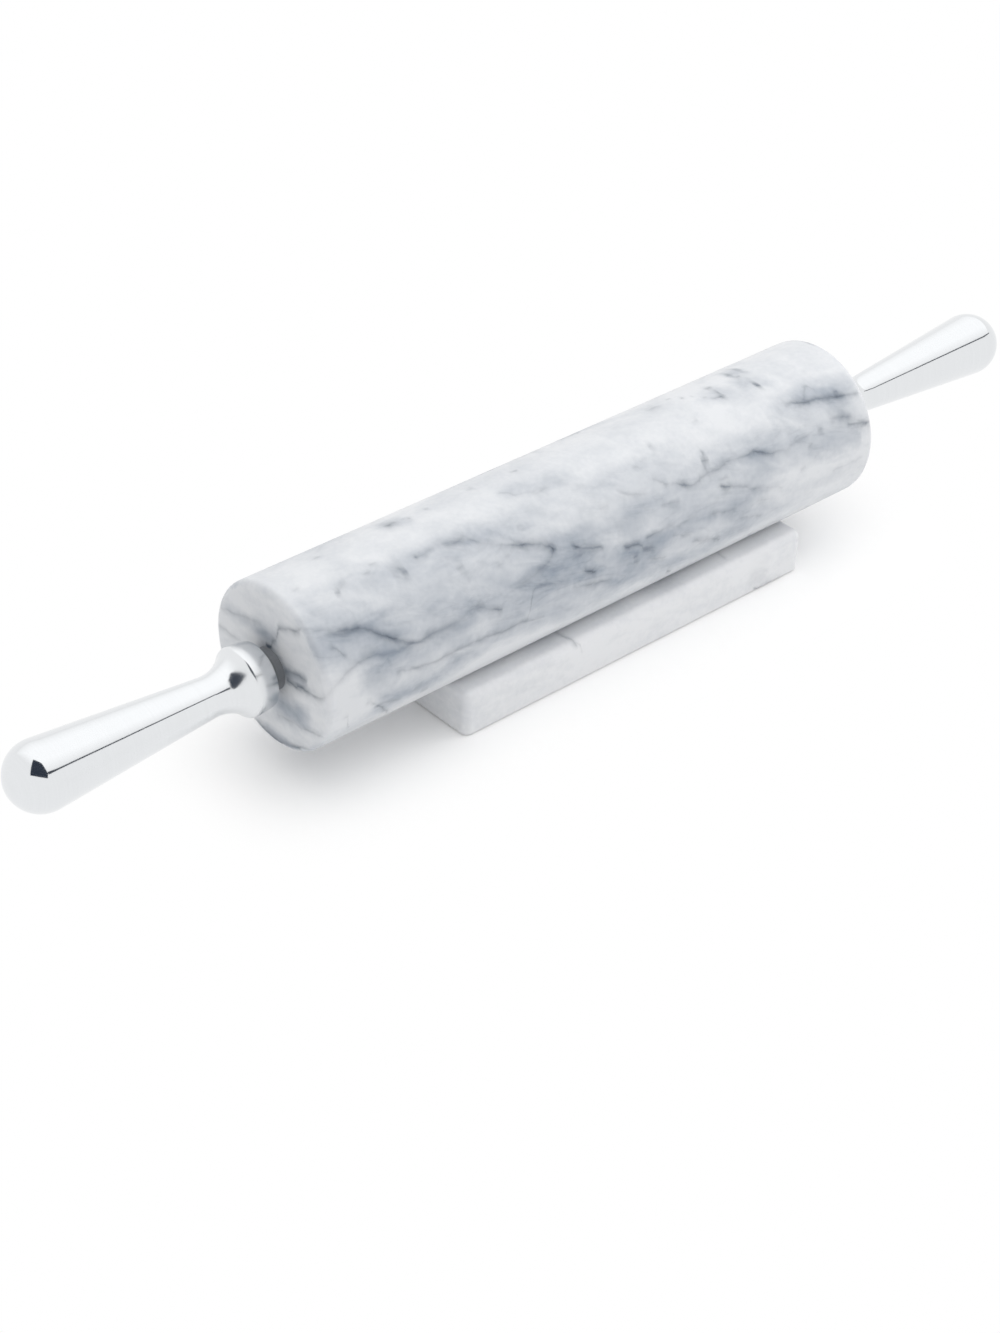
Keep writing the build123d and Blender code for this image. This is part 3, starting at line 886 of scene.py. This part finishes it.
@dataclass(frozen=True)
class BarrelMarble(Marble):
    """The barrel's veined marble: grey-blue clouds and thin dark veins that run down to the right."""

    radius: float = 30.0
    length: float = 256.0
    face_radius: float = 28.6
    face_blend: float = 0.6
    # The drawn part of the side: where it starts round the barrel, and its span
    low_round: float = -32.0
    span_round: float = 96.0
    right_haze: float = 0.25
    # The side that the photograph hides: where it fades in over the top and under the front
    hidden_above: tuple[float, float] = (56.0, 68.0)
    hidden_below: tuple[float, float] = (-16.0, -26.0)
    unseen_size: tuple[float, float] = (90.0, 34.0)
    unseen_breadth: float = 0.022
    unseen_veins: float = 1.4
    unseen_streak: tuple[float, float, float] = (60.0, 22.0, 1.0)
    unseen_haze: float = 0.8
    # Painted shade on the stone round each collar, fading out from the first radius to the second
    collar_shade_radii: tuple[float, float] = (7.0, 10.5)
    collar_shade_depth: float = 0.5

    def drawn(self, tree: Tree, place: Socket) -> tuple[Socket, Socket]:
        """Adds the barrel's drawn veins: one chart round its side and one on each end, and painted shade
        round the collars.

        Args:
            tree: The node tree.
            place: The place in millimetres, warped.

        Returns:
            How dark the veins are, and how grey the clouds are.
        """
        along, back, up = add_node(tree, "SeparateXYZ", {0: place}).outputs
        front = add_node(tree, "Math", {0: back, 1: -1.0}, operation=Sum.MULTIPLY).outputs[0]
        angle = add_node(tree, "Math", {0: up, 1: front}, operation=Sum.ANGLE).outputs[0]
        round_it = add_node(tree, "Math", {0: angle, 1: self.radius}, operation=Sum.MULTIPLY).outputs[0]
        flat = add_node(tree, "CombineXYZ", {"Y": back, "Z": up}).outputs[0]
        reach = add_node(tree, "VectorMath", {0: flat}, operation=Sum.LENGTH).outputs["Value"]
        on_side = add_node(
            tree,
            "MapRange",
            {
                "Value": reach,
                "From Min": self.face_radius - self.face_blend,
                "From Max": self.face_radius + self.face_blend,
            },
        ).outputs[0]
        on_right = add_node(tree, "MapRange", {"Value": along, "From Min": -1.0, "From Max": 1.0}).outputs[0]
        side = (-self.length / 2, self.length, self.low_round, self.span_round)
        end = (-self.radius, 2 * self.radius, -self.radius, 2 * self.radius)
        side_veins = VeinChart(BARREL_SIDE_VEINS, *side).darkness(tree, along, round_it)
        hazy = VeinChart(BARREL_SIDE_CLOUDS, *side, widen=1.0, soft=True)
        side_clouds = hazy.darkness(tree, along, round_it)
        left_veins_and_shade = VeinChart(BARREL_LEFT_VEINS_AND_SHADE, *end).darkness(tree, back, up)
        left_clouds_and_shade = VeinChart(BARREL_LEFT_CLOUDS_AND_SHADE, *end, widen=1.0, soft=True).darkness(tree, back, up)
        right_veins = VeinChart(BARREL_RIGHT_VEINS, *end).darkness(tree, back, up)
        end_veins = add_node(tree, "Mix", {"Factor": on_right, "A": left_veins_and_shade, "B": right_veins}).outputs[0]
        end_clouds = add_node(
            tree,
            "Mix",
            {"Factor": on_right, "A": left_clouds_and_shade, "B": self.right_haze},
        ).outputs[0]
        # Painted shade round each collar, added to the veins of the end faces
        inner, outer = self.collar_shade_radii
        painted_collar_shade = add_node(
            tree,
            "MapRange",
            {"Value": reach, "From Min": inner, "From Max": outer, "To Min": self.collar_shade_depth, "To Max": 0.0},
            interpolation_type=Ramp.SMOOTH,
        ).outputs[0]
        end_veins = add_node(tree, "Math", {0: end_veins, 1: painted_collar_shade}, operation=Sum.ADD).outputs[0]
        more, haze = self.undrawn(tree, place, round_it)
        all_side = add_node(tree, "Math", {0: side_veins, 1: more}, operation=Sum.ADD).outputs[0]
        side_clouds = add_node(tree, "Math", {0: side_clouds, 1: haze}, operation=Sum.ADD).outputs[0]
        veins = add_node(tree, "Mix", {"Factor": on_side, "A": end_veins, "B": all_side}).outputs[0]
        clouds = add_node(tree, "Mix", {"Factor": on_side, "A": end_clouds, "B": side_clouds}).outputs[0]
        return veins, clouds

    def undrawn(self, tree: Tree, place: Socket, round_it: Socket) -> tuple[Socket, Socket]:
        """Adds clouds, and a few veins in them, on the back and the underside, which the photograph hides.

        Args:
            tree: The node tree.
            place: The place in millimetres, warped.
            round_it: The place round the barrel from its front line, in millimetres.

        Returns:
            How dark those veins are, and how grey those clouds are.
        """
        bed = self.beds(tree, place)
        thin = self.ridges(tree, bed, self.unseen_size, self.unseen_breadth, self.unseen_veins)
        patch = self.streaks(tree, bed, *self.unseen_streak)
        haze = add_node(
            tree,
            "MapRange",
            {"Value": patch, "From Min": 0.4, "From Max": 0.8, "To Max": self.unseen_haze},
        ).outputs[0]
        above, below = (
            add_node(tree, "MapRange", {"Value": round_it, "From Min": start, "From Max": end}).outputs[0]
            for start, end in (self.hidden_above, self.hidden_below)
        )
        unseen = add_node(tree, "Math", {0: above, 1: below}, operation=Sum.MAXIMUM).outputs[0]
        clouds = add_node(tree, "Math", {0: haze, 1: unseen}, operation=Sum.MULTIPLY).outputs[0]
        return add_node(tree, "Math", {0: thin, 1: clouds}, operation=Sum.MULTIPLY).outputs[0], clouds


@dataclass(frozen=True)
class CradleMarble(Marble):
    """The cradle's marble: the same stone from a whiter slab, with hardly a vein."""

    # Each chart: where it starts along and its span, then where it starts across and its span
    front_chart: tuple[float, float, float, float] = (-70.0, 170.0, 0.0, 40.0)
    top_chart: tuple[float, float, float, float] = (-30.0, 60.0, -70.0, 170.0)
    # Where the front's veins fade in towards the viewer, and the top's fade in upwards
    front_fade: tuple[float, float] = (-23.0, -25.5)
    top_fade: tuple[float, float] = (14.0, 15.5)

    def drawn(self, tree: Tree, place: Socket) -> tuple[Socket, float]:
        """Adds the few veins of the cradle's top and front, and the line of painted shade at the front's
        foot.

        Args:
            tree: The node tree.
            place: The place in millimetres, warped.

        Returns:
            How dark the veins are, and how grey the clouds are.
        """
        along, back, up = add_node(tree, "SeparateXYZ", {0: place}).outputs
        height = add_node(tree, "Math", {0: up, 1: AXIS_HEIGHT}, operation=Sum.ADD).outputs[0]
        front = VeinChart(CRADLE_FRONT_VEINS_AND_SHADE, *self.front_chart).darkness(tree, along, height)
        top = VeinChart(CRADLE_TOP_VEINS, *self.top_chart).darkness(tree, back, along)
        on_front, on_top = (
            add_node(tree, "MapRange", {"Value": value, "From Min": start, "From Max": end}).outputs[0]
            for value, (start, end) in ((back, self.front_fade), (height, self.top_fade))
        )
        front = add_node(tree, "Math", {0: front, 1: on_front}, operation=Sum.MULTIPLY).outputs[0]
        top = add_node(tree, "Math", {0: top, 1: on_top}, operation=Sum.MULTIPLY).outputs[0]
        return add_node(tree, "Math", {0: front, 1: top}, operation=Sum.MAXIMUM).outputs[0], 0.0


@dataclass(frozen=True)
class TurnedMetal(Finish):
    """A metal turned or ground on centres, so that its finest marks run round the pin's axis."""

    colour: str = "#e6e8ea"
    roughness: float = 0.08
    unevenness: float = 0.35
    line_spacing: float = 0.5
    groove: float = 0.0
    # Roughness that the wheel leaves by the collar, and where along the pin that starts and ends
    unreached: float = 0.0
    collar_span: tuple[float, float] = (152.0, 142.5)
    round_change: float = 8.0

    def shade(self, tree: Tree) -> bpy.types.Node:
        """Adds the turned metal, and returns its shader."""
        place = add_node(tree, "TexCoord").outputs["Object"]
        # Rings round the axis: the pattern changes along X and hardly round it
        drawn_out = (1 / (self.line_spacing * MM), self.round_change, self.round_change)
        rings = add_node(tree, "Mapping", {"Vector": place, "Scale": drawn_out}).outputs[0]
        marks = add_node(tree, "TexNoise", {"Vector": rings, "Scale": 1.0, "Detail": 3.0}).outputs["Fac"]
        gloss = add_node(
            tree,
            "MapRange",
            {
                "Value": marks,
                "To Min": self.roughness * (1 - self.unevenness),
                "To Max": self.roughness * (1 + self.unevenness),
            },
        )
        if self.unreached:
            along = add_node(tree, "SeparateXYZ", {0: place}).outputs["X"]
            away = add_node(tree, "Math", {0: along}, operation=Sum.ABSOLUTE).outputs[0]
            start, end = self.collar_span
            duller = add_node(
                tree,
                "MapRange",
                {"Value": away, "From Min": start * MM, "From Max": end * MM, "To Max": self.unreached},
            )
            gloss = add_node(tree, "Math", {0: gloss.outputs[0], 1: duller.outputs[0]}, operation=Sum.ADD)
        tint = add_node(
            tree,
            "MapRange",
            {"Value": marks, "From Min": 0.25, "From Max": 0.75, "To Min": 0.97, "To Max": 1.0},
        )
        colour = add_node(
            tree,
            "VectorMath",
            {0: linear(self.colour)[:3], "Scale": tint.outputs[0]},
            operation=Sum.SCALE,
        )
        inputs = {"Base Color": colour.outputs[0], "Metallic": 1.0, "Roughness": gloss.outputs[0]}
        if self.groove:
            relief = add_node(tree, "Bump", {"Height": marks, "Strength": 1.0, "Distance": self.groove * MM})
            inputs["Normal"] = relief.outputs[0]
        return add_node(tree, "BsdfPrincipled", inputs)


@dataclass(frozen=True)
class MouldedPlastic(Finish):
    """A moulded or die-cut plastic or rubber, matt, with the faint grain of its mould."""

    colour: str = "#6c6f73"
    worn: str = "#7d8084"
    roughness: float = 0.55
    ior: float = 1.53
    grain: float = 0.6
    relief: float = 0.02

    def shade(self, tree: Tree) -> bpy.types.Node:
        """Adds the moulded material, and returns its shader."""
        place = add_node(tree, "TexCoord").outputs["Object"]
        grain = add_node(
            tree,
            "TexNoise",
            {"Vector": place, "Scale": 1 / (self.grain * MM), "Detail": 2.0},
        ).outputs["Fac"]
        tone = add_node(
            tree,
            "Mix",
            {"Factor": grain, 6: linear(self.colour), 7: linear(self.worn)},
            data_type="RGBA",
        )
        gloss = add_node(
            tree,
            "MapRange",
            {"Value": grain, "To Min": self.roughness - 0.06, "To Max": self.roughness + 0.06},
        )
        bump = add_node(tree, "Bump", {"Height": grain, "Strength": 1.0, "Distance": self.relief * MM})
        return add_node(
            tree,
            "BsdfPrincipled",
            {
                "Base Color": tone.outputs[2],
                "Roughness": gloss.outputs[0],
                "IOR": self.ior,
                "Normal": bump.outputs[0],
            },
        )


@dataclass(frozen=True)
class Roller:
    """The marble barrel with its two flanged bushes."""

    stone: Finish = BarrelMarble("veined_carrara_marble_honed")
    # Nylon 6/6, moulded grey: matt, with a faint bloom
    bearing: Finish = MouldedPlastic("grey_nylon_moulded")

    def build(self) -> None:
        """Dresses the barrel in its stone and the bushes in nylon."""
        self.stone.dress(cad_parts["marble_barrel"])
        for bush in ("left_bush", "right_bush"):
            self.bearing.dress(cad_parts[bush])


@dataclass(frozen=True)
class Spindle:
    """The axle rod, its thrust washers and the two handles."""

    # Aluminium, turned and buffed: a soft mirror with the drag of the wheel round it
    metal: Finish = TurnedMetal("aluminium_turned_and_buffed", unreached=0.14)
    # Bright drawn steel bar: greyer, with fine lines round it from its last polish
    bar: Finish = TurnedMetal("bright_drawn_steel", "#c4c3c0", 0.28, 0.3, 0.4, 0.004)

    def build(self) -> None:
        """Dresses the handles in buffed aluminium, and the rod and the washers in steel."""
        for handle in ("left_handle", "right_handle"):
            self.metal.dress(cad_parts[handle])
        for part in ("axle_rod", "left_washer", "right_washer"):
            self.bar.dress(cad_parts[part])


@dataclass(frozen=True)
class Cradle:
    """The marble slab that the pin rests in, and the pads under it."""

    stone: Finish = CradleMarble(
        "white_carrara_marble_honed",
        "#e8e9eb",
        cloud_level=0.04,
        cloud_contrast=0.7,
    )
    # Die-cut rubber sheet: dull and slightly grainy
    rubber: Finish = MouldedPlastic("rubber_sheet_die_cut", "#262627", "#343435", 0.8, 1.52, 0.4, 0.03)

    def build(self) -> None:
        """Dresses the slab in its stone and the pads in rubber."""
        self.stone.dress(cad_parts["cradle_base"])
        self.rubber.dress(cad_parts["cradle_pads"])


@dataclass(frozen=True)
class PhotoCamera:
    """The photograph's viewpoint, found by fitting the pin's outlines."""

    position: tuple[float, float, float] = (-537.03, -557.87, 536.91)
    heading: float = 42.378
    dip: float = 35.523
    roll: float = -1.608
    lens: float = 70.87
    long_side: float = 36.0

    def build(self) -> bpy.types.Object:
        """Makes the camera and gives it to the scene.

        Returns:
            The camera object.
        """
        turn, fall, lean = (math.radians(a) for a in (self.heading, self.dip, self.roll))
        ahead = Vector((math.sin(turn) * math.cos(fall), math.cos(turn) * math.cos(fall), -math.sin(fall)))
        level = Vector((math.cos(turn), -math.sin(turn), 0.0))
        below = ahead.cross(level)
        right = level * math.cos(lean) + below * math.sin(lean)
        down = below * math.cos(lean) - level * math.sin(lean)
        data = bpy.data.cameras.new("photo_camera")
        data.lens = self.lens
        data.sensor_width = self.long_side
        camera = bpy.data.objects.new("photo_camera", data)
        bpy.context.scene.collection.objects.link(camera)
        axes = Matrix((right, -down, -ahead)).transposed()
        camera.matrix_world = Matrix.Translation(Vector(self.position) * MM) @ axes.to_4x4()
        bpy.context.scene.camera = camera
        LOG.info("photo_camera stands at %s mm", self.position)
        return camera


@dataclass(frozen=True)
class SoftLamp:
    """A rectangular lamp that lights the pin and isn't mirrored in the metal. Metres and watts."""

    name: str
    place: tuple[float, float, float]
    aim: tuple[float, float, float]
    size: tuple[float, float]
    power: float

    def build(self) -> bpy.types.Object:
        """Hangs the lamp.

        Returns:
            The lamp object.
        """
        data = bpy.data.lights.new(self.name, "AREA")
        data.shape = "RECTANGLE"
        data.size, data.size_y = self.size
        data.energy = self.power
        lamp = bpy.data.objects.new(self.name, data)
        backwards = Vector(self.place) - Vector(self.aim)
        lamp.rotation_euler = backwards.to_track_quat("Z", "Y").to_euler()
        lamp.location = self.place
        lamp.visible_camera = lamp.visible_glossy = False
        bpy.context.scene.collection.objects.link(lamp)
        LOG.info("%s hangs at %s m", self.name, self.place)
        return lamp


# Directions from the left dome to the corners of the camera's opening
CAMERA_OPENING = (
    (-0.241, 0.081, 0.967),
    (-0.056, -0.325, 0.944),
    (-0.031, -0.794, 0.607),
    (-0.124, -0.905, 0.407),
    (-0.752, -0.341, 0.564),
)

# Along the pin in metres, the seam's angle up from the front and half of its breadth, in degrees
PANEL_SEAM = ((-0.25, 37.0, 4.0), (0.2, 36.5, 3.0), (0.65, 36.0, 2.2), (1.2, 41.0, 2.0), (3.0, 46.0, 2.0))


@dataclass(frozen=True)
class Studio:
    """A white sweep under a wide overhead panel, with the camera's dark opening.

    Sizes are in metres.
    """

    floor_size: float = 8.0
    panel_height: float = 0.94
    overhead: SoftLamp = SoftLamp("overhead_panel", (0.35, 0.0, 0.94), (0.35, 0.0, 0.0), (2.6, 2.0), 10.4)
    sideways: SoftLamp = SoftLamp("side_panel", (0.85, -0.3, 0.6), (0.0, 0.0, 0.04), (0.7, 0.7), 2.0)
    fill: float = 0.62
    floor_white: str = "#fcfcfc"
    floor_lift: float = 0.03
    # Middle, half size and margin of the box in which the floor shows the shadow
    shadow_box: tuple[tuple[float, float, float], ...] = (
        (0.005, 0.0, 0.0),
        (0.12, 0.012, 1.0),
        (0.05, 0.05, 1.0),
    )
    # The panel's bright face: front, back, left and right, and its glow at the edges, middle and far end
    panel_edges: tuple[float, float, float, float] = (-1.07, 3.4, -0.75, 2.2)
    panel_glow: tuple[float, float, float] = (1.0, 1.22, 0.96)
    # The middle of the left dome, and how far from it the camera's opening stands
    dome_middle: tuple[float, float, float] = (-0.219, 0.0, AXIS_HEIGHT * MM)
    opening_distance: float = 0.86
    opening_colour: str = "#343b47"
    seam_distance: float = 1.25
    seam_colour: str = "#3a3f49"

    def build(self) -> None:
        """Makes the surroundings, the floor, the lamps and the cards that the metal mirrors."""
        scene = bpy.context.scene
        scene.view_settings.view_transform = "Standard"
        self.surroundings(scene)
        self.floor()
        self.overhead.build()
        self.sideways.build()
        self.panel_face()
        self.openings()

    def seen(self, tree: Tree) -> Socket:
        """Adds nodes that tell the rays that show the background from those that light the object.

        Args:
            tree: The node tree of the world or of a material.

        Returns:
            A socket that is 1 for camera, glossy and transmission rays, and 0 for the rest.
        """
        path = add_node(tree, "LightPath").outputs
        first = add_node(
            tree,
            "Math",
            {0: path["Is Camera Ray"], 1: path["Is Glossy Ray"]},
            operation=Sum.MAXIMUM,
        ).outputs[0]
        return add_node(
            tree,
            "Math",
            {0: first, 1: path["Is Transmission Ray"]},
            operation=Sum.MAXIMUM,
        ).outputs[0]

    def surroundings(self, scene: bpy.types.Scene) -> None:
        """Makes the world: white where it is seen, and plainer where it lights.

        Args:
            scene: The scene that takes the world.
        """
        world = bpy.data.worlds.new("studio")
        world.use_nodes = True
        tree = world.node_tree
        tree.nodes.clear()
        strength = add_node(tree, "Mix", {"Factor": self.seen(tree), "A": self.fill, "B": 1.0})
        back = add_node(tree, "Background", {"Color": (1.0,) * 4, "Strength": strength.outputs[0]})
        add_node(tree, "OutputWorld", {"Surface": back.outputs[0]})
        scene.world = world

    def floor(self) -> None:
        """Lays the pale floor, which keeps the object's shadow and turns white away from it."""
        half = self.floor_size / 2
        corners = [(-half, -half, 0.0), (half, -half, 0.0), (half, half, 0.0), (-half, half, 0.0)]
        tree = self.sheet("floor", corners).data.materials[0].node_tree
        place = add_node(tree, "TexCoord").outputs["Object"]
        # The shadow shows in a rounded box round the pin, and fades to white over the margin
        middle, half_box, margin = self.shadow_box
        off = add_node(tree, "VectorMath", {0: place, 1: middle}, operation=Sum.SUBTRACT)
        off = add_node(tree, "VectorMath", {0: off.outputs[0]}, operation=Sum.ABSOLUTE)
        off = add_node(tree, "VectorMath", {0: off.outputs[0], 1: half_box}, operation=Sum.SUBTRACT)
        off = add_node(tree, "VectorMath", {0: off.outputs[0], 1: (0.0, 0.0, 0.0)}, operation=Sum.MAXIMUM)
        off = add_node(tree, "VectorMath", {0: off.outputs[0], 1: margin}, operation=Sum.DIVIDE)
        far = add_node(tree, "VectorMath", {0: off.outputs[0]}, operation=Sum.LENGTH)
        white = add_node(
            tree,
            "MapRange",
            {"Value": far.outputs["Value"]},
            interpolation_type=Ramp.SMOOTH,
        )
        shown = add_node(tree, "Math", {0: white.outputs[0], 1: self.seen(tree)}, operation=Sum.MULTIPLY)
        glint = add_node(tree, "Math", {0: self.seen(tree), 1: self.floor_lift}, operation=Sum.MULTIPLY)
        paper = add_node(tree, "BsdfDiffuse", {"Color": linear(self.floor_white)})
        lift = add_node(tree, "Emission", {"Strength": glint.outputs[0]})
        near = add_node(tree, "AddShader", {0: paper.outputs[0], 1: lift.outputs[0]})
        sweep = add_node(tree, "Emission", {"Strength": 1.0})
        both = add_node(tree, "MixShader", {0: shown.outputs[0], 1: near.outputs[0], 2: sweep.outputs[0]})
        add_node(tree, "OutputMaterial", {"Surface": both.outputs[0]})

    def sheet(self, name: str, corners: list[tuple[float, float, float]]) -> bpy.types.Object:
        """Makes one flat stage sheet with an empty material.

        Args:
            name: The sheet's name.
            corners: Its corners in order.

        Returns:
            The sheet, with its place in its mesh.
        """
        mesh = bpy.data.meshes.new(name)
        mesh.from_pydata([tuple(c) for c in corners], [], [tuple(range(len(corners)))])
        material = bpy.data.materials.new(name)
        material.use_nodes = True
        material.node_tree.nodes.clear()
        mesh.materials.append(material)
        sheet = bpy.data.objects.new(name, mesh)
        bpy.context.scene.collection.objects.link(sheet)
        LOG.info("%s is in place", name)
        return sheet

    def mirrored_only(self, card: bpy.types.Object) -> None:
        """Leaves a card to be seen only in what mirrors it.

        Args:
            card: A stage sheet.
        """
        card.visible_camera = card.visible_diffuse = card.visible_shadow = False
        card.visible_transmission = card.visible_volume_scatter = False

    def panel_face(self) -> None:
        """Hangs the panel's bright face, which fades towards its edges, for the metal to mirror."""
        height = self.panel_height + 0.01
        front, back, left, right = self.panel_edges
        edge, middle, far_end = self.panel_glow
        face = self.sheet(
            "panel_face",
            [(left, front, height), (right, front, height), (right, back, height), (left, back, height)],
        )
        tree = face.data.materials[0].node_tree
        place = add_node(tree, "TexCoord").outputs["Object"]
        width, depth, _ = add_node(tree, "SeparateXYZ", {0: place}).outputs
        rise = add_node(
            tree,
            "MapRange",
            {"Value": depth, "From Min": front, "From Max": -0.25, "To Min": edge, "To Max": middle},
        )
        fall = add_node(
            tree,
            "MapRange",
            {"Value": depth, "From Min": 0.5, "From Max": 2.6, "To Min": middle, "To Max": far_end},
        )
        both = add_node(tree, "Math", {0: rise.outputs[0], 1: fall.outputs[0]}, operation=Sum.MINIMUM)
        side = add_node(
            tree,
            "MapRange",
            {"Value": width, "From Min": left, "From Max": -0.4, "To Min": edge, "To Max": middle},
        )
        both = add_node(tree, "Math", {0: both.outputs[0], 1: side.outputs[0]}, operation=Sum.MINIMUM)
        glow = add_node(tree, "Emission", {"Strength": both.outputs[0]})
        add_node(tree, "OutputMaterial", {"Surface": glow.outputs[0]})
        self.mirrored_only(face)

    def card(self, name: str, corners: list[Vector], colour: str) -> None:
        """Stands up a plain card for the metal to mirror.

        Args:
            name: The card's name.
            corners: Its corners in order.
            colour: What the metal sees there.
        """
        card = self.sheet(name, corners)
        tree = card.data.materials[0].node_tree
        plain = add_node(tree, "Emission", {"Color": linear(colour), "Strength": 1.0})
        add_node(tree, "OutputMaterial", {"Surface": plain.outputs[0]})
        self.mirrored_only(card)

    def openings(self) -> None:
        """Puts up the dark opening round the camera, and the dark seam at the panel's front edge."""
        dome = Vector(self.dome_middle)
        rays = [Vector(ray).normalized() for ray in CAMERA_OPENING]
        corners = [dome + self.opening_distance * ray for ray in rays]
        self.card("camera_opening", corners, self.opening_colour)
        edges = []
        for side in (-1, 1):
            row = []
            for along, angle, half_breadth in PANEL_SEAM:
                turn = math.radians(angle + side * half_breadth)
                front = -self.seam_distance * math.cos(turn)
                row.append(Vector((along, front, dome.z + self.seam_distance * math.sin(turn))))
            edges.append(row)
        self.card("panel_seam", edges[0] + edges[1][::-1], self.seam_colour)


def main() -> None:
    """Builds the camera, the studio and the pin's three sub-assemblies, in that order."""
    logging.basicConfig(level=logging.INFO)
    for part in (PhotoCamera(), Studio(), Cradle(), Spindle(), Roller()):
        part.build()


if __name__ == "__main__":
    main()
